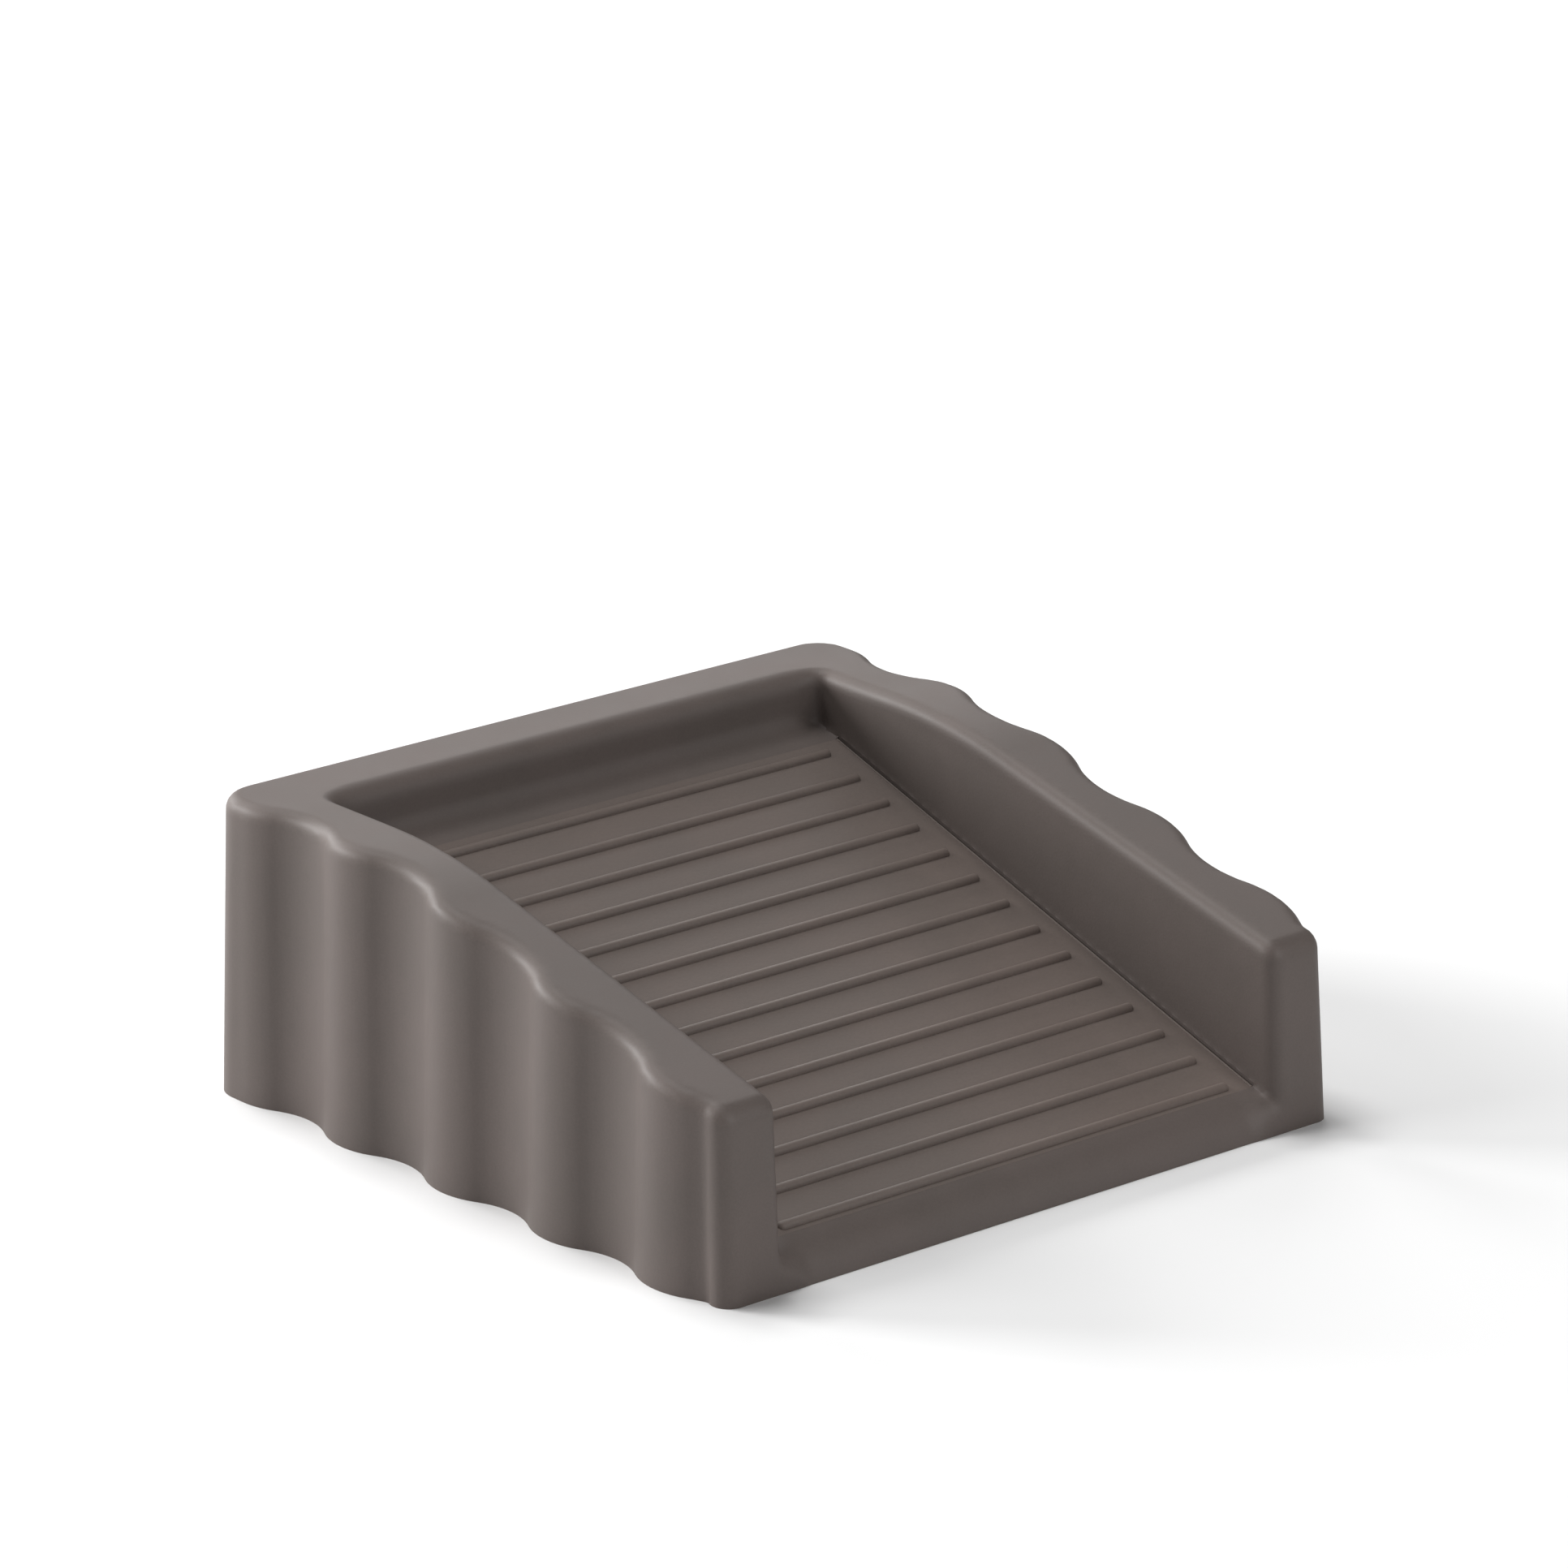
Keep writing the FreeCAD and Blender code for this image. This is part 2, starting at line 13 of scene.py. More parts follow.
import bpy
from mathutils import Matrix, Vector


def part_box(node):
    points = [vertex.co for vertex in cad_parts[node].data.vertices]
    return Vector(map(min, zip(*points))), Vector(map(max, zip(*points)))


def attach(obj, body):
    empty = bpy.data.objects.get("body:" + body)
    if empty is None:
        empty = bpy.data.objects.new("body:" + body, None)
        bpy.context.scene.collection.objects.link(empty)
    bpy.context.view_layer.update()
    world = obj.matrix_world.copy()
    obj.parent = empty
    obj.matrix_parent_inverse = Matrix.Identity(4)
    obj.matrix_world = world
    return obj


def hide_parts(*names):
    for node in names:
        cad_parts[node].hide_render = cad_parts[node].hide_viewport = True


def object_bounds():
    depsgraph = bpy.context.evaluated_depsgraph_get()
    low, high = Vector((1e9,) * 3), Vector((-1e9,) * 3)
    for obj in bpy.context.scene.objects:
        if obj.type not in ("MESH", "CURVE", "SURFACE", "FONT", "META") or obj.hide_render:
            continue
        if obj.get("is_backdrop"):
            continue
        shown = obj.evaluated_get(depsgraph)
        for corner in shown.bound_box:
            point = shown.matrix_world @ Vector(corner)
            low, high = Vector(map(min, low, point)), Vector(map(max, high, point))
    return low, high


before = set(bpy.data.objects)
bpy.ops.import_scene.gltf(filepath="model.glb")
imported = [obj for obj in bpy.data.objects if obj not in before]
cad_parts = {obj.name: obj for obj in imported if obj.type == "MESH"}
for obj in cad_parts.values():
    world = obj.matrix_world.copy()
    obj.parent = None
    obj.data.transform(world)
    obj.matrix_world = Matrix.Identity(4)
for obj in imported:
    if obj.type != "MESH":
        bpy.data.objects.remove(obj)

MILLIMETRE = 0.001
SENSOR_WIDTH = 36.0

logging.basicConfig(level=logging.INFO, format="%(message)s")
log = logging.getLogger("door_wedge")


class Number:
    """A value carried by a node tree's socket, written with ordinary arithmetic."""

    def __init__(self, tree: bpy.types.NodeTree, socket: bpy.types.NodeSocket) -> None:
        """Hold the socket and the tree that it belongs to."""
        self.tree = tree
        self.socket = socket

    def work_out(self, operation: str, *others: "Number | float") -> "Number":
        """Put this value and others through one step of arithmetic.

        Args:
            operation: the step, as the Math node names it.
            others: the values that the step takes after this one.

        Returns:
            The step's result.
        """
        step = self.tree.nodes.new("ShaderNodeMath")
        step.operation = operation
        for socket, value in zip(step.inputs, (self, *others)):
            feed(self.tree, socket, value)
        return Number(self.tree, step.outputs[0])

    def __add__(self, other: "Number | float") -> "Number":
        """Sum of the two."""
        return self.work_out("ADD", other)

    def __sub__(self, other: "Number | float") -> "Number":
        """This less the other."""
        return self.work_out("SUBTRACT", other)

    def __mul__(self, other: "Number | float") -> "Number":
        """Product of the two."""
        return self.work_out("MULTIPLY", other)

    def __truediv__(self, other: "Number | float") -> "Number":
        """This over the other."""
        return self.work_out("DIVIDE", other)

    def __neg__(self) -> "Number":
        """This with its sign turned."""
        return self.work_out("MULTIPLY", -1.0)

    def larger(self, other: "Number | float") -> "Number":
        """The larger of the two."""
        return self.work_out("MAXIMUM", other)

    def smaller(self, other: "Number | float") -> "Number":
        """The smaller of the two."""
        return self.work_out("MINIMUM", other)

    def above(self, other: "Number | float") -> "Number":
        """One where this is above the other, and nought elsewhere."""
        return self.work_out("GREATER_THAN", other)

    def size(self) -> "Number":
        """This without its sign."""
        return self.work_out("ABSOLUTE")

    def hypotenuse(self, other: "Number | float") -> "Number":
        """Length of the diagonal of the two."""
        return (self * self + as_number(self.tree, other) * other).work_out("SQRT")

    def mixed(self, other: "Number | float", share: "Number") -> "Number":
        """This where share is nought, the other where it is one."""
        return self + (as_number(self.tree, other) - self) * share

    def ramp(self, low: "Number | float", high: "Number | float") -> "Number":
        """A smooth rise from nought at low to one at high."""
        step = self.tree.nodes.new("ShaderNodeMapRange")
        step.interpolation_type = "SMOOTHSTEP"
        for name, value in (("Value", self), ("From Min", low), ("From Max", high)):
            feed(self.tree, step.inputs[name], value)
        return Number(self.tree, step.outputs["Result"])


def feed(tree: bpy.types.NodeTree, socket: bpy.types.NodeSocket, value: object) -> None:
    """Give a node's input its value: a link for a socket or a Number, or a plain setting."""
    if isinstance(value, Number):
        tree.links.new(value.socket, socket)
    elif isinstance(value, bpy.types.NodeSocket):
        tree.links.new(value, socket)
    else:
        socket.default_value = value


def as_number(tree: bpy.types.NodeTree, value: Number | float) -> Number:
    """Make a plain figure into a Number, and leave a Number as it is."""
    if isinstance(value, Number):
        return value
    constant = tree.nodes.new("ShaderNodeValue")
    constant.outputs[0].default_value = value
    return Number(tree, constant.outputs[0])


def rounded(one: Number, two: Number, radius: Number | float) -> Number:
    """Distance to what lies inside both one and two, with their common edge rounded.

    Args:
        one: signed distance to the first surface, negative inside.
        two: signed distance to the second surface.
        radius: radius of the rounded edge.

    Returns:
        The signed distance to the joint surface.
    """
    reach = as_number(one.tree, radius)
    flat = one.larger(two).smaller(-reach)
    turn = (one + reach).larger(0.0).hypotenuse((two + reach).larger(0.0))
    return flat + turn


def eased(one: Number, two: Number, ease: Number | float) -> Number:
    """The larger of two slopes that meet at a shallow angle, blended over a height of ease."""
    share = (as_number(one.tree, ease) - (one - two).size()).larger(0.0)
    return one.larger(two) + share * share / ease / 4.0


class Plan:
    """A geometry node tree under construction, with named inputs for its sizes."""

    def __init__(self, name: str, result: str = "NodeSocketGeometry") -> None:
        """Start the tree, with one output of the kind result."""
        self.tree = bpy.data.node_groups.new(name, "GeometryNodeTree")
        self.entry = self.tree.nodes.new("NodeGroupInput")
        self.exit = self.tree.nodes.new("NodeGroupOutput")
        self.tree.interface.new_socket("Result", in_out="OUTPUT", socket_type=result)
        self.settings: dict[str, float] = {}

    def size(self, name: str, value: float) -> Number:
        """Add a named size to the tree's inputs.

        Args:
            name: the input's name, in words.
            value: the size that the modifier or the calling tree will give it.

        Returns:
            The size, for use inside the tree.
        """
        if name not in self.settings:
            self.tree.interface.new_socket(name, in_out="INPUT", socket_type="NodeSocketFloat")
            self.settings[name] = value
        return Number(self.tree, self.entry.outputs[name])

    def add(
        self, kind: str, settings: dict[str, object] | None = None, **inputs: object
    ) -> bpy.types.Node:
        """Add a node.

        Args:
            kind: the node's kind.
            settings: the node's own choices, such as its mode.
            inputs: what goes to its sockets, by name, with _ for a space.

        Returns:
            The node.
        """
        made = self.tree.nodes.new(kind)
        for name, choice in (settings or {}).items():
            setattr(made, name, choice)
        for name, value in inputs.items():
            feed(self.tree, made.inputs[name.replace("_", " ")], value)
        return made

    def point(self) -> bpy.types.NodeSocket:
        """Add the input for the place at which the tree's rule is worked out."""
        sockets = self.tree.interface
        sockets.new_socket("Point", in_out="INPUT", socket_type="NodeSocketVector")
        return self.entry.outputs["Point"]

    def vector(self, x: object = 0.0, y: object = 0.0, z: object = 0.0) -> bpy.types.NodeSocket:
        """Join three values into a vector."""
        return self.add("ShaderNodeCombineXYZ", X=x, Y=y, Z=z).outputs[0]

    def parts(self, vector: bpy.types.NodeSocket) -> tuple[Number, Number, Number]:
        """Split a vector into its three values."""
        split = self.add("ShaderNodeSeparateXYZ", Vector=vector)
        x, y, z = (Number(self.tree, socket) for socket in split.outputs)
        return x, y, z

    def vector_math(
        self, operation: str, *values: object, scale: object = None
    ) -> bpy.types.NodeSocket:
        """One step of arithmetic on vectors.

        Args:
            operation: the step, as the Vector Math node names it.
            values: the vectors that it takes.
            scale: the number that SCALE multiplies by.

        Returns:
            The step's result, which is a plain number for DOT_PRODUCT.
        """
        step = self.add("ShaderNodeVectorMath", {"operation": operation})
        for socket, value in zip(step.inputs, values):
            feed(self.tree, socket, value)
        if scale is not None:
            feed(self.tree, step.inputs["Scale"], scale)
        return step.outputs["Value" if operation == "DOT_PRODUCT" else "Vector"]

    def call(self, other: "Plan", **inputs: object) -> bpy.types.NodeSocket:
        """Use another plan as a group, and pass on every size that both have.

        Args:
            other: the plan to use.
            inputs: what goes to its other sockets, by name.

        Returns:
            The group's result.
        """
        group = self.tree.nodes.new("GeometryNodeGroup")
        group.node_tree = other.tree
        for name, value in other.settings.items():
            feed(self.tree, group.inputs[name], self.size(name, value))
        for name, value in inputs.items():
            feed(self.tree, group.inputs[name], value)
        return group.outputs[0]

    def combine(self, operation: str, first: object, *others: object) -> bpy.types.NodeSocket:
        """Join, cut or intersect closed meshes.

        Args:
            operation: UNION, DIFFERENCE or INTERSECT.
            first: the mesh that is added to or cut.
            others: the meshes that are added, or that do the cutting.

        Returns:
            The resulting mesh.
        """
        settings = {"operation": operation, "solver": "MANIFOLD"}
        node = self.add("GeometryNodeMeshBoolean", settings)
        if operation == "DIFFERENCE":
            feed(self.tree, node.inputs["Mesh 1"], first)
        else:
            others = (first, *others)
        for mesh in others:
            feed(self.tree, node.inputs["Mesh 2"], mesh)
        return node.outputs["Mesh"]

    def array(
        self, shape: object, count: int, start: object, step: object
    ) -> bpy.types.NodeSocket:
        """Set copies of a shape along a straight line.

        Args:
            shape: the mesh to copy.
            count: how many copies.
            start: where the first one goes.
            step: the way from each one to the next.

        Returns:
            The copies, made real.
        """
        line = self.add(
            "GeometryNodeMeshLine", {"mode": "OFFSET"}, Count=count, Start_Location=start, Offset=step
        )
        copies = self.add("GeometryNodeInstanceOnPoints", Points=line.outputs[0], Instance=shape)
        real = self.add("GeometryNodeRealizeInstances", Geometry=copies.outputs[0])
        return real.outputs[0]

    def slab(self, outline: object, height: object) -> bpy.types.NodeSocket:
        """Raise a closed flat outline into a solid slab.

        Args:
            outline: the curve to fill.
            height: how far up it is raised.

        Returns:
            The slab as a closed mesh.
        """
        sheet = self.add("GeometryNodeFillCurve", {"mode": "NGONS"}, Curve=outline).outputs[0]
        up = self.vector(z=height)
        raised = self.add("GeometryNodeExtrudeMesh", Mesh=sheet, Offset=up, Individual=False)
        raised.inputs["Offset Scale"].default_value = 1.0
        base = self.add("GeometryNodeFlipFaces", Mesh=sheet).outputs[0]
        both = self.add("GeometryNodeJoinGeometry")
        for part in (raised.outputs["Mesh"], base):
            feed(self.tree, both.inputs[0], part)
        touching = MILLIMETRE / 1000
        closed = self.add(
            "GeometryNodeMergeByDistance", Geometry=both.outputs[0], Distance=touching
        )
        return closed.outputs[0]

    def move(self, shape: object, **turns: object) -> bpy.types.NodeSocket:
        """Shift, turn or stretch a shape by Translation, Rotation and Scale."""
        return self.add("GeometryNodeTransform", Geometry=shape, **turns).outputs[0]

    def result(self, value: object) -> None:
        """Send a value to the tree's output."""
        feed(self.tree, self.exit.inputs[0], value)

    def store(self, name: str, mesh: object, value: Number) -> bpy.types.NodeSocket:
        """Keep a value on each point of a mesh, under a name that a material can read."""
        settings = {"data_type": "FLOAT", "domain": "POINT"}
        kept = self.add(
            "GeometryNodeStoreNamedAttribute", settings, Geometry=mesh, Name=name, Value=value
        )
        return kept.outputs[0]

    def finish(self, mesh: object, material: bpy.types.Material, crease: float) -> None:
        """End the tree: real geometry, smooth but for its creases, in one material.

        Args:
            mesh: the finished mesh.
            material: the finish that it wears.
            crease: edges that turn by more than this angle stay sharp.
        """
        real = self.add("GeometryNodeRealizeInstances", Geometry=mesh).outputs[0]
        turn = Number(self.tree, self.add("GeometryNodeInputMeshEdgeAngle").outputs[0])
        soft = turn.work_out("LESS_THAN", crease)
        faces = self.add("GeometryNodeSetShadeSmooth", {"domain": "FACE"}, Geometry=real)
        edges = self.add(
            "GeometryNodeSetShadeSmooth", {"domain": "EDGE"}, Geometry=faces.outputs[0]
        )
        feed(self.tree, edges.inputs["Shade Smooth"], soft)
        dressed = self.add("GeometryNodeSetMaterial", Geometry=edges.outputs[0], Material=material)
        self.result(dressed.outputs[0])

    def build(self, name: str) -> bpy.types.Object:
        """Run the tree once and keep its result as a plain mesh object.

        Args:
            name: the piece's name.

        Returns:
            The piece, at the origin, with no modifier left on it.
        """
        carrier = bpy.data.objects.new(f"{name}_plan", bpy.data.meshes.new(f"{name}_plan"))
        bpy.context.scene.collection.objects.link(carrier)
        modifier = carrier.modifiers.new("shape", "NODES")
        modifier.node_group = self.tree
        sockets = {item.name: item for item in self.tree.interface.items_tree}
        for label, value in self.settings.items():
            modifier[sockets[label].identifier] = value
        bpy.context.view_layer.update()
        shaped = carrier.evaluated_get(bpy.context.evaluated_depsgraph_get())
        mesh = bpy.data.meshes.new_from_object(shaped)
        bpy.data.objects.remove(carrier)
        mesh.name = name
        piece = bpy.data.objects.new(name, mesh)
        bpy.context.scene.collection.objects.link(piece)
        return piece


class Grain(Enum):
    """How a moulded surface was left by its tool, as the size and depth of its pores."""

    SATIN = (0.22 * MILLIMETRE, 0.010 * MILLIMETRE)
    FINE_MATT = (0.30 * MILLIMETRE, 0.018 * MILLIMETRE)
    COARSE_MATT = (0.55 * MILLIMETRE, 0.035 * MILLIMETRE)

    @property
    def pore(self) -> float:
        """Distance from one pore to the next."""
        return self.value[0]

    @property
    def depth(self) -> float:
        """Depth of a pore."""
        return self.value[1]


@dataclass(frozen=True)
class Elastomer:
    """A moulded, through-coloured elastomer: its shade, its gloss and the tool's grain.

    The colour drifts between shade and warm_shade in clouds, pores and smudges darken or lighten it a
    little, and rims and rib crests are smoother and lighter, the lighter colour partly rubbed wear
    and partly a painted highlight.
    """

    name: str
    shade: tuple[float, float, float]
    warm_shade: tuple[float, float, float]
    grain: Grain
    roughness: float = 0.56
    smudges: float = 0.10
    cloud: float = 14.0 * MILLIMETRE
    # How much rims and rib crests are lightened: partly rubbed wear, partly a painted highlight.
    edge_wear_and_painted_highlight: float = 0.10
    edge_polish: float = 0.06
    pore_shade: float = 0.22
    smudge_shade: float = 0.06
    pore_roughness: float = 0.12
    gloss: float = 0.38
    refraction: float = 1.43

    def noise(self, tree: bpy.types.NodeTree, place: bpy.types.NodeSocket, size: float) -> Number:
        """Soft random variation.

        Args:
            tree: the material's node tree.
            place: the coordinates that it is fixed to.
            size: the rough distance from one patch to the next.

        Returns:
            The variation, which is about one half on average.
        """
        source = tree.nodes.new("ShaderNodeTexNoise")
        source.inputs["Scale"].default_value = 1.0 / size
        source.inputs["Detail"].default_value = 3.0
        tree.links.new(place, source.inputs["Vector"])
        return Number(tree, source.outputs["Fac"])

    def material(self) -> bpy.types.Material:
        """Make the finish.

        Returns:
            The material, with its colour, roughness and pores worked out from the object's place.
        """
        made = bpy.data.materials.new(self.name)
        made.use_nodes = True
        tree = made.node_tree
        shader = tree.nodes["Principled BSDF"]
        shader.inputs["IOR"].default_value = self.refraction
        shader.inputs["Specular IOR Level"].default_value = self.gloss

        place = tree.nodes.new("ShaderNodeTexCoord").outputs["Object"]
        cloud = self.noise(tree, place, self.cloud)
        smudge = self.noise(tree, place, self.cloud / 4)
        pores = self.noise(tree, place, self.grain.pore)
        rim = tree.nodes.new("ShaderNodeAttribute")
        rim.attribute_name = "rim"
        edge = Number(tree, rim.outputs["Fac"])

        tone = tree.nodes.new("ShaderNodeMix")
        tone.data_type = "RGBA"
        feed(tree, tone.inputs["Factor"], cloud.ramp(0.35, 0.65))
        tone.inputs["A"].default_value = (*self.shade, 1.0)
        tone.inputs["B"].default_value = (*self.warm_shade, 1.0)
        lift = tree.nodes.new("ShaderNodeHueSaturation")
        feed(tree, lift.inputs["Color"], tone.outputs["Result"])
        fine = (pores - 0.5) * self.pore_shade + (smudge - 0.5) * self.smudge_shade
        # Rims and rib crests are lightened here: partly rubbed wear, partly a painted highlight.
        feed(tree, lift.inputs["Value"], edge * self.edge_wear_and_painted_highlight + fine + 1.0)
        feed(tree, shader.inputs["Base Color"], lift.outputs["Color"])

        uneven = (smudge - 0.5) * self.smudges - edge * self.edge_polish
        uneven = uneven + (pores - 0.5) * self.pore_roughness
        feed(tree, shader.inputs["Roughness"], uneven + self.roughness)

        bump = tree.nodes.new("ShaderNodeBump")
        bump.inputs["Distance"].default_value = self.grain.depth
        bump.inputs["Strength"].default_value = 1.0
        feed(tree, bump.inputs["Height"], pores)
        feed(tree, shader.inputs["Normal"], bump.outputs["Normal"])
        return made


@dataclass
class Ramp:
    """The trough between the side walls and the slope that climbs through it to the back wall."""

    low: Vector
    high: Vector
    trough_width: float = 62.4 * MILLIMETRE
    back_wall_thickness: float = 9.5 * MILLIMETRE
    front_height: float = 3.0 * MILLIMETRE
    rear_drop: float = 5.6 * MILLIMETRE
    tread_set_back: float = 3.4 * MILLIMETRE
    tread_rear_gap: float = 3.2 * MILLIMETRE
    side_clearance: float = 0.10 * MILLIMETRE
    end_clearance: float = 0.004 * MILLIMETRE

    @property
    def length(self) -> float:
        """Distance from the front edge to the back wall."""
        return self.high.y - self.low.y - self.back_wall_thickness

    @property
    def slope(self) -> float:
        """Rise of the ramp for each unit of its run."""
        return (self.high.z - self.rear_drop - self.front_height) / self.length

    @property
    def turn(self) -> tuple[float, float, float]:
        """The turn that lays a level sheet on the ramp."""
        return (math.atan(self.slope), 0.0, 0.0)

    @property
    def seat_run(self) -> float:
        """Length of the tread's seat, measured up the slope."""
        level = self.length - self.tread_set_back - self.tread_rear_gap
        return level * math.hypot(1.0, self.slope)

    def point(self, up_slope: float) -> tuple[float, float, float]:
        """A place on the ramp's middle line.

        Args:
            up_slope: how far it is up the slope from the front edge of the tread's seat.

        Returns:
            The place's coordinates.
        """
        run = self.tread_set_back + up_slope / math.hypot(1.0, self.slope)
        return (0.0, self.low.y + run, self.front_height + run * self.slope)


@dataclass
class WedgeBody:
    """The outer moulding: back wall, two fluted side walls, sloping deck and rolled front lip.

    Next to a side wall the radii are the wall's own, and wall_band is the strip beside the wall
    where nothing else counts.  rim_change gives the shares of the length between which the lip's
    radius gives way to the back rim's.  The surface is found on a grid of cells and then settled.
    """

    low: Vector
    high: Vector
    ramp: Ramp
    tread: "RampTread"
    pad: "FloorGripPad"
    finish: Elastomer
    front_wall_height: float = 18.6 * MILLIMETRE
    level_top_length: float = 28.6 * MILLIMETRE
    side_draft: float = math.radians(1.2)
    front_lean: float = math.radians(3.5)
    rear_corner_radius: float = 4.1 * MILLIMETRE
    flute_depth: float = 1.95 * MILLIMETRE
    flute_pitch: float = 15.9 * MILLIMETRE
    flute_count: int = 5
    first_flute_set_back: float = 0.7 * MILLIMETRE
    bead_radius: float = 1.8 * MILLIMETRE
    bead_stand: float = 0.52 * MILLIMETRE
    bead_blend: float = 0.12 * MILLIMETRE
    outer_rim: float = 1.5 * MILLIMETRE
    inner_rim: float = 1.5 * MILLIMETRE
    back_rim: float = 2.2 * MILLIMETRE
    lip_radius: float = 3.4 * MILLIMETRE
    foot_radius: float = 1.8 * MILLIMETRE
    side_foot_radius: float = 0.4 * MILLIMETRE
    inner_corner_radius: float = 1.2 * MILLIMETRE
    brow_ease: float = 2.0 * MILLIMETRE
    wall_band: float = 0.2 * MILLIMETRE
    rim_change: tuple[float, float] = (0.3, 0.6)
    cell: float = 0.5 * MILLIMETRE
    settling_passes: int = 3
    crease: float = math.radians(35.0)

    @property
    def width(self) -> float:
        """Overall width."""
        return self.high.x - self.low.x

    @property
    def length(self) -> float:
        """Overall length."""
        return self.high.y - self.low.y

    def distance(self) -> Plan:
        """The rule of the shape.

        Returns:
            A plan that gives the signed distance from a point to the moulding's surface.  It goes
            on below the floor, where the body is cut off afterwards.
        """
        plan = Plan("wedge_distance", "NodeSocketFloat")
        x, y, z = plan.parts(plan.point())
        across = x.size()
        back = y + plan.size("Length", self.length) / 2.0
        length = Number(plan.tree, plan.entry.outputs["Length"])
        half = plan.size("Width", self.width) / 2.0

        draft = z * plan.size("Side draft", math.tan(self.side_draft))
        lean = z * plan.size("Front lean", math.tan(self.front_lean))
        side = self.fluted_side(plan, across, back, half) + draft
        rear = back - length + draft
        front = lean - back
        bead = plan.size("Bead radius", self.bead_radius)
        outline = rounded(side, rear, plan.size("Rear corner radius", self.rear_corner_radius))
        outline = rounded(outline, front, bead)

        inset = plan.size("Flute depth", self.flute_depth) - self.bead_stand
        post_x = across + draft - (half - inset - bead)
        post_y = back - lean - bead
        post = post_x.hypotenuse(post_y) - bead
        outline = -eased(-outline, -post, plan.size("Bead blend", self.bead_blend))

        height = plan.size("Height", self.high.z)
        fall_start = length - plan.size("Level top length", self.level_top_length)
        front_height = plan.size("Front wall height", self.front_wall_height)
        fall = (height - front_height) / fall_start
        slope = (z - height + (fall_start - back) * fall) / (fall * fall + 1.0).work_out("SQRT")
        top = eased(z - height, slope, self.brow_ease)
        block = rounded(outline, top, plan.size("Outer rim", self.outer_rim))

        half_trough = plan.size("Trough width", self.ramp.trough_width) / 2.0
        wall_front = length - plan.size("Back wall thickness", self.ramp.back_wall_thickness)
        rise = plan.size("Ramp slope", self.ramp.slope)
        ramp = back * rise + plan.size("Ramp front height", self.ramp.front_height) - z
        ramp = ramp / (rise * rise + 1.0).work_out("SQRT")
        corner = plan.size("Inner corner radius", self.inner_corner_radius)
        trough = rounded(across - half_trough, back - wall_front, corner)
        lip = plan.size("Lip radius", self.lip_radius)
        near_wall = across.ramp(half_trough - lip, half_trough - self.wall_band)
        side_foot = plan.size("Side foot radius", self.side_foot_radius)
        foot = plan.size("Foot radius", self.foot_radius).mixed(side_foot, near_wall)
        trough = rounded(trough, ramp, foot)

        change_start, change_end = (length * share for share in self.rim_change)
        near_back = back.ramp(change_start, change_end)
        broad = lip.mixed(plan.size("Back rim", self.back_rim), near_back)
        rim = plan.size("Inner rim", self.inner_rim)
        plan.result(rounded(block, -trough, broad.mixed(rim, near_wall)).socket)
        return plan

    def fluted_side(self, plan: Plan, across: Number, back: Number, half: Number) -> Number:
        """A side wall's wave of equal arcs, each running smoothly into the next.

        Args:
            plan: the plan that the rule is written in.
            across: distance from the middle of the wedge.
            back: distance from its front edge.
            half: half its width.

        Returns:
            The signed distance to the wall's surface at the floor.
        """
        pitch = plan.size("Flute pitch", self.flute_pitch)
        depth = plan.size("Flute depth", self.flute_depth)
        first = plan.size("First flute set back", self.first_flute_set_back)
        count = plan.size("Flute count", float(self.flute_count))
        quarter = pitch / 4.0
        radius = (quarter * quarter + depth * depth / 4.0) / depth

        waves = ((back - first) / pitch + 0.5).work_out("FRACT")
        run = ((waves - 0.5) * pitch).size()
        crest = (across - half + radius).hypotenuse(pitch / 2.0 - run) - radius
        hollow = radius - (half - depth + radius - across).hypotenuse(run)
        past_joint = (across - half + depth / 2.0) * (pitch / 2.0)
        past_joint = past_joint + (run - quarter) * (radius * 2.0 - depth)
        wave = hollow.mixed(crest, past_joint.above(0.0))
        past_last = (back - first - (count - 0.5) * pitch).above(0.0)
        return wave.mixed(across - half, past_last)

    def slope(self, distance: Plan) -> Plan:
        """The direction in which the distance grows fastest.

        Args:
            distance: the rule of the shape.

        Returns:
            A plan that gives that direction at a point, with the rate of growth as its length.
        """
        # The distance is compared at four corners of a small cube round the point.
        reach = 0.02 * MILLIMETRE
        plan = Plan("wedge_slope", "NodeSocketVector")
        point = plan.point()
        total: bpy.types.NodeSocket | None = None
        for corner in ((1, -1, -1), (-1, -1, 1), (-1, 1, -1), (1, 1, 1)):
            shifted = plan.vector_math("ADD", point, tuple(reach * c for c in corner))
            here = plan.call(distance, Point=shifted)
            share = plan.vector_math("SCALE", corner, scale=Number(plan.tree, here) / 4 / reach)
            total = share if total is None else plan.vector_math("ADD", total, share)
        plan.result(total)
        return plan

    def settle(self, plan: Plan, mesh: object, distance: Plan, slope: Plan) -> object:
        """Move the points of a rough mesh straight to the nearest place on the true surface.

        Args:
            plan: the plan that the mesh is in.
            mesh: the rough mesh.
            distance: the rule of the shape.
            slope: the direction in which the distance grows.

        Returns:
            The truer mesh.  Its end face below the floor, far from the surface, stays as it is.
        """
        place = plan.add("GeometryNodeInputPosition").outputs[0]
        off = Number(plan.tree, plan.call(distance, Point=place))
        way = plan.call(slope, Point=place)
        rate = Number(plan.tree, plan.vector_math("DOT_PRODUCT", way, way))
        move = plan.vector_math("SCALE", way, scale=-off / rate)
        near = off.size().work_out("LESS_THAN", 2 * self.cell)
        return plan.add(
            "GeometryNodeSetPosition", Geometry=mesh, Selection=near, Offset=move
        ).outputs[0]

    def build(self) -> bpy.types.Object:
        """Make the moulding and dress it.

        Returns:
            The finished piece.
        """
        plan = Plan("wedge_body_plan")
        distance = self.distance()
        slope = self.slope(distance)

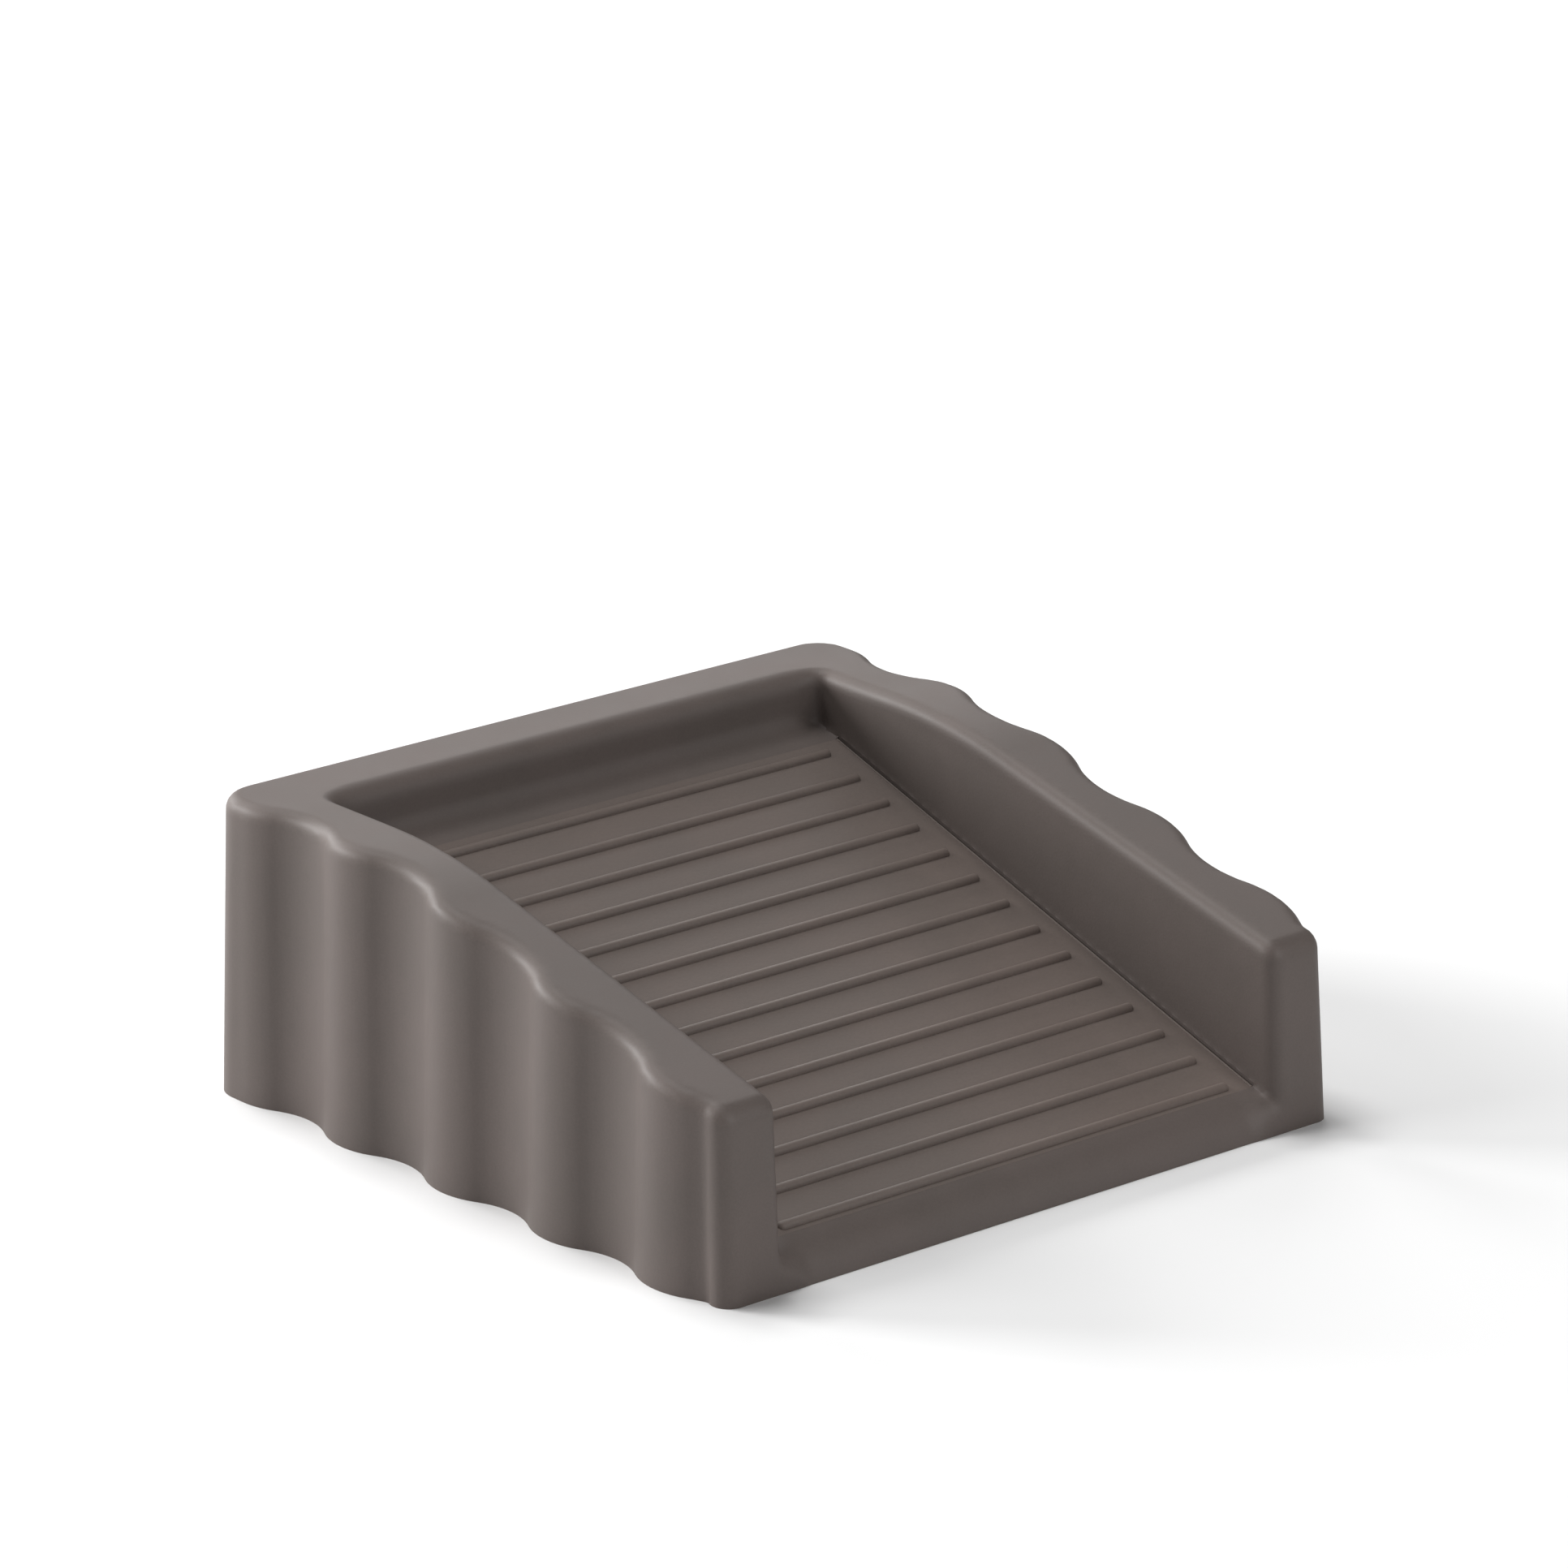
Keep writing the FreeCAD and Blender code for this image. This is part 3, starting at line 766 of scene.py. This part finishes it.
        place = plan.add("GeometryNodeInputPosition").outputs[0]
        surface = 0.5
        fade_per_metre = 100.0
        outwards = Number(plan.tree, plan.call(distance, Point=place))
        inside = outwards * -fade_per_metre + surface
        spare = 3 * self.cell
        low = Vector((self.low.x - spare, self.low.y - spare, self.low.z - 4 * self.cell))
        high = self.high + Vector((spare, spare, spare))
        steps = [round(span / self.cell) for span in high - low]
        grid = plan.add(
            "GeometryNodeVolumeCube",
            Density=inside,
            Background=0.0,
            Min=tuple(low),
            Max=tuple(high),
            Resolution_X=steps[0],
            Resolution_Y=steps[1],
            Resolution_Z=steps[2],
        )
        rough = plan.add("GeometryNodeVolumeToMesh", Volume=grid.outputs[0], Threshold=surface)
        mesh = rough.outputs[0]
        for _ in range(self.settling_passes):
            mesh = self.settle(plan, mesh, distance, slope)

        # How far the surface faces up, turned into a mark that peaks halfway round a rim; the
        # material lightens the colour there, partly as rubbed wear and partly as a painted highlight.
        facing = plan.parts(plan.call(slope, Point=place))[2]
        turn = (facing * (-facing + 1.0) * 4.0).ramp(0.25, 1.0)
        marked = plan.store("rim", mesh, turn)
        cutters = (self.below_floor(plan), self.tread_seat(plan), self.pad_recess(plan))
        cut = plan.combine("DIFFERENCE", marked, *cutters)
        plan.finish(cut, self.finish.material(), self.crease)
        return plan.build("wedge_body_moulding")

    def below_floor(self, plan: Plan) -> object:
        """Everything under the floor, which the rule of the shape runs on into."""
        depth = 20 * MILLIMETRE
        block = plan.add("GeometryNodeMeshCube", Size=(2 * self.width, 2 * self.length, depth))
        return plan.move(block.outputs[0], Translation=(0.0, 0.0, -depth / 2))

    def tread_seat(self, plan: Plan) -> object:
        """The shallow seat that the tread lies in, which is as wide as the trough."""
        width = plan.size("Trough width", self.ramp.trough_width)
        run = self.ramp.seat_run
        height = self.tread.thickness + self.side_foot_radius
        block = plan.add("GeometryNodeMeshCube", Size=plan.vector(width, run, height))
        lift = (self.side_foot_radius - self.tread.thickness) / 2
        raised = plan.move(block.outputs[0], Translation=(0.0, run / 2, lift))
        return plan.move(raised, Translation=self.ramp.point(0.0), Rotation=self.ramp.turn)

    def pad_recess(self, plan: Plan) -> object:
        """The shallow recess in the underside that takes the grip pad."""
        span = self.pad.high - self.pad.low
        room = 2 * self.pad.clearance
        shape = self.pad.outline(plan, span.x + room, span.y + room)
        past_floor = 2 * MILLIMETRE
        slab = plan.slab(shape, span.z + past_floor)
        middle = (self.pad.high + self.pad.low) / 2
        return plan.move(slab, Translation=(middle.x, middle.y, -past_floor))


@dataclass
class RampTread:
    """The ribbed tread: a sheet laid up the ramp, with half-round ribs that have round ends."""

    ramp: Ramp
    finish: Elastomer
    thickness: float = 1.6 * MILLIMETRE
    rib_count: int = 14
    rib_radius: float = 0.58 * MILLIMETRE
    rib_sink: float = 0.06 * MILLIMETRE
    rib_end_gap: float = 2.5 * MILLIMETRE
    first_rib_offset: float = 1.1 * MILLIMETRE
    last_rib_offset: float = 1.8 * MILLIMETRE
    edge_bead: float = 0.11 * MILLIMETRE
    crease: float = math.radians(20.0)

    def rib(self, plan: Plan, length: Number) -> object:
        """One rib, as a ball drawn out sideways into a bar with round ends.

        Args:
            plan: the tread's plan.
            length: the rib's length over its round ends.

        Returns:
            The rib as a closed mesh, centred on the origin.
        """
        radius = plan.size("Rib radius", self.rib_radius)
        ball = plan.add("GeometryNodeMeshUVSphere", Segments=24, Rings=16, Radius=radius)
        upright = plan.move(ball.outputs[0], Rotation=(0.0, math.pi / 2, 0.0))
        x, _, _ = plan.parts(plan.add("GeometryNodeInputPosition").outputs[0])
        middle = 0.01 * MILLIMETRE
        side = x.above(middle) - (-x).above(middle)
        out = plan.vector(x=side * (length / 2.0 - radius))
        return plan.add("GeometryNodeSetPosition", Geometry=upright, Offset=out).outputs[0]

    def beads(self, plan: Plan, width: Number, run: Number) -> object:
        """The fine raised lines along the sheet's two long edges.

        Args:
            plan: the tread's plan.
            width: the sheet's width.
            run: the sheet's length up the ramp.

        Returns:
            The two lines as closed meshes.
        """
        radius = plan.size("Edge bead", self.edge_bead)
        rod = plan.add("GeometryNodeMeshCylinder", Vertices=24, Radius=radius, Depth=run - radius)
        along = plan.move(rod.outputs["Mesh"], Rotation=(math.pi / 2, 0.0, 0.0))
        inset = width / 2.0 - radius
        return plan.array(along, 2, plan.vector(-inset, run / 2.0, 0.0), plan.vector(x=inset * 2.0))

    def build(self) -> bpy.types.Object:
        """Make the tread and dress it.

        Returns:
            The finished piece.
        """
        plan = Plan("ramp_tread_plan")
        width = plan.size("Tread width", self.ramp.trough_width - 2 * self.ramp.side_clearance)
        run = plan.size("Tread run", self.ramp.seat_run - 2 * self.ramp.end_clearance)
        thickness = plan.size("Thickness", self.thickness)
        sheet = plan.add("GeometryNodeMeshCube", Size=plan.vector(width, run, thickness))
        middle = plan.vector(y=run / 2.0, z=-thickness / 2.0)
        sheet = plan.move(sheet.outputs[0], Translation=middle)

        first = plan.size("First rib offset", self.first_rib_offset)
        last = plan.size("Last rib offset", self.last_rib_offset)
        pitch = (run - first - last) / (self.rib_count - 1.0)
        rib = self.rib(plan, width - 2 * self.rib_end_gap)
        start = plan.vector(y=first, z=-self.rib_sink)
        ribs = plan.array(rib, self.rib_count, start, plan.vector(y=pitch))
        solid = plan.combine("UNION", sheet, ribs, self.beads(plan, width, run))
        # The rib crests are marked so that the material lightens them: partly wear, partly a painted
        # highlight.
        height = plan.parts(plan.add("GeometryNodeInputPosition").outputs[0])[2]
        crest = height.ramp(0.15 * self.rib_radius, 0.7 * self.rib_radius)
        crest_wear_and_highlight = plan.store("rim", solid, crest)
        foot = self.ramp.point(self.ramp.end_clearance)
        laid = plan.move(crest_wear_and_highlight, Translation=foot, Rotation=self.ramp.turn)
        plan.finish(laid, self.finish.material(), self.crease)
        return plan.build("ramp_tread_ribbed")


@dataclass
class FloorGripPad:
    """The anti-slip pad in the underside: a sheet with round corners and cross grooves."""

    low: Vector
    high: Vector
    finish: Elastomer
    clearance: float = 0.15 * MILLIMETRE
    corner_radius: float = 3.0 * MILLIMETRE
    groove_count: int = 11
    groove_width: float = 1.6 * MILLIMETRE
    groove_depth: float = 0.5 * MILLIMETRE
    groove_end_margin: float = 6.2 * MILLIMETRE
    crease: float = math.radians(40.0)

    def outline(self, plan: Plan, width: object, length: object) -> object:
        """A rectangle with the pad's round corners.

        Args:
            plan: the plan that it is drawn in.
            width: its size across the wedge.
            length: its size along the wedge.

        Returns:
            The closed curve, centred on the origin.
        """
        square = plan.add("GeometryNodeCurvePrimitiveQuadrilateral", Width=width, Height=length)
        soft = plan.add(
            "GeometryNodeFilletCurve",
            {"mode": "POLY"},
            Curve=square.outputs[0],
            Count=8,
            Radius=plan.size("Corner radius", self.corner_radius),
        )
        return soft.outputs[0]

    def grooves(self, plan: Plan, width: Number, length: Number) -> object:
        """The cross grooves, as half-sunk bars that are cut out of the underside.

        Args:
            plan: the pad's plan.
            width: the pad's width.
            length: the pad's length.

        Returns:
            The bars as closed meshes.
        """
        half = self.groove_width / 2
        radius = (half**2 + self.groove_depth**2) / (2 * self.groove_depth)
        reach = width - 2 * self.corner_radius
        rod = plan.add("GeometryNodeMeshCylinder", Vertices=32, Radius=radius, Depth=reach)
        across = plan.move(rod.outputs["Mesh"], Rotation=(0.0, math.pi / 2, 0.0))
        margin = plan.size("Groove end margin", self.groove_end_margin)
        start = plan.vector(0.0, margin - length / 2.0, self.groove_depth - radius)
        step = (length - margin * 2.0) / (self.groove_count - 1.0)
        return plan.array(across, self.groove_count, start, plan.vector(y=step))

    def build(self) -> bpy.types.Object:
        """Make the pad and dress it.

        Returns:
            The finished piece.
        """
        plan = Plan("floor_grip_pad_plan")
        span = self.high - self.low
        middle = (self.high + self.low) / 2
        width = plan.size("Pad width", span.x)
        length = plan.size("Pad length", span.y)
        sheet = plan.slab(self.outline(plan, width, length), plan.size("Thickness", span.z))
        grooved = plan.combine("DIFFERENCE", sheet, self.grooves(plan, width, length))
        placed = plan.move(grooved, Translation=(middle.x, middle.y, self.low.z))
        plan.finish(placed, self.finish.material(), self.crease)
        return plan.build("floor_grip_pad_grooved")


@dataclass(frozen=True)
class SoftBox:
    """A square soft light: where it hangs, the length of its side and its power in watts."""

    name: str
    place: tuple[float, float, float]
    width: float
    power: float


@dataclass
class Studio:
    """A plain pale floor, soft lights and the camera."""

    aim: Vector
    lights: tuple[SoftBox, ...] = (
        SoftBox("rear_left_soft_box", (-0.65, 1.00, 0.42), 0.45, 14.0),
        SoftBox("left_soft_box", (-0.90, 0.50, 0.75), 0.45, 3.0),
        SoftBox("low_rear_soft_box", (0.00, 1.10, 0.45), 0.45, 5.5),
        SoftBox("overhead_soft_box", (-0.05, 0.30, 1.05), 0.45, 6.0),
        SoftBox("rear_right_soft_box", (0.70, 0.80, 0.60), 0.45, 2.6),
        SoftBox("front_fill_soft_box", (0.20, -0.95, 0.50), 0.60, 4.2),
    )
    floor_size: float = 6.0
    floor_grey: float = 0.9
    floor_roughness: float = 0.9
    floor_gloss: float = 0.1
    sky_strength: float = 0.05
    camera_back: tuple[float, float, float] = (-0.61261, -0.72283, 0.31971)
    camera_place: tuple[float, float, float] = (-0.46808, -0.55413, 0.27586)
    lens: float = 181.1
    view_lift: float = 0.0105

    def floor(self) -> None:
        """Lay the plain pale floor."""
        half = self.floor_size / 2
        mesh = bpy.data.meshes.new("floor")
        corners = [(-half, -half, 0), (half, -half, 0), (half, half, 0), (-half, half, 0)]
        mesh.from_pydata(corners, [], [(0, 1, 2, 3)])
        paint = bpy.data.materials.new("floor_paint")
        paint.use_nodes = True
        shader = paint.node_tree.nodes["Principled BSDF"]
        shader.inputs["Base Color"].default_value = (*[self.floor_grey] * 3, 1.0)
        shader.inputs["Roughness"].default_value = self.floor_roughness
        shader.inputs["Specular IOR Level"].default_value = self.floor_gloss
        mesh.materials.append(paint)
        floor = bpy.data.objects.new("floor", mesh)
        bpy.context.scene.collection.objects.link(floor)
        floor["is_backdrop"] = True

    def light(self, box: SoftBox) -> None:
        """Hang a soft light so that it faces the wedge."""
        lamp = bpy.data.lights.new(box.name, "AREA")
        lamp.shape = "SQUARE"
        lamp.size = box.width
        lamp.energy = box.power
        hung = bpy.data.objects.new(box.name, lamp)
        hung.location = box.place
        hung.rotation_euler = (Vector(box.place) - self.aim).to_track_quat("Z", "Y").to_euler()
        bpy.context.scene.collection.objects.link(hung)

    def sky(self) -> None:
        """Light everything evenly from all round."""
        world = bpy.data.worlds.new("soft_room")
        world.use_nodes = True
        background = world.node_tree.nodes["Background"]
        background.inputs["Color"].default_value = (1.0, 1.0, 1.0, 1.0)
        background.inputs["Strength"].default_value = self.sky_strength
        bpy.context.scene.world = world

    def camera(self) -> None:
        """Stand the camera at the front left, a little above the wedge."""
        data = bpy.data.cameras.new("camera")
        data.lens = self.lens
        data.sensor_width = SENSOR_WIDTH
        data.shift_y = self.view_lift
        data.clip_start = 0.01
        data.clip_end = 50.0
        stand = bpy.data.objects.new("camera", data)
        stand.location = self.camera_place
        stand.rotation_euler = Vector(self.camera_back).to_track_quat("Z", "Y").to_euler()
        bpy.context.scene.collection.objects.link(stand)
        bpy.context.scene.camera = stand

    def build(self) -> None:
        """Set up the floor, the lights and the camera."""
        bpy.context.scene.view_settings.view_transform = "Standard"
        self.floor()
        self.sky()
        for box in self.lights:
            self.light(box)
        self.camera()


def install(piece: bpy.types.Object, node: str) -> None:
    """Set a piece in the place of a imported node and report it.

    Args:
        piece: the finished piece.
        node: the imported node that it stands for.
    """
    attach(piece, "root")
    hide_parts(node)
    log.info("%s stands for %s with %d faces", piece.name, node, len(piece.data.polygons))


def main() -> None:
    """Build the wedge's pieces in order, then the studio around them."""
    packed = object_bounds()

    taupe = Elastomer(
        name="taupe_satin_silicone",
        shade=(0.118, 0.098, 0.089),
        warm_shade=(0.126, 0.103, 0.094),
        grain=Grain.SATIN,
    )
    tread_taupe = Elastomer(
        name="taupe_matt_tread_silicone",
        shade=(0.140, 0.114, 0.101),
        warm_shade=(0.149, 0.119, 0.105),
        grain=Grain.FINE_MATT,
        roughness=0.58,
    )
    grip_rubber = Elastomer(
        name="charcoal_grip_rubber",
        shade=(0.022, 0.021, 0.020),
        warm_shade=(0.026, 0.024, 0.022),
        grain=Grain.COARSE_MATT,
        roughness=0.72,
        gloss=0.35,
    )

    pad = FloorGripPad(*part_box("floor_grip_pad"), grip_rubber)
    ramp = Ramp(*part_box("wedge_body"))
    tread = RampTread(ramp, tread_taupe)
    body = WedgeBody(*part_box("wedge_body"), ramp, tread, pad, taupe)
    install(body.build(), "wedge_body")
    install(tread.build(), "ramp_tread")
    install(pad.build(), "floor_grip_pad")

    Studio(aim=Vector((0.0, 0.0, packed[1].z / 2))).build()


if __name__ == "__main__":
    main()
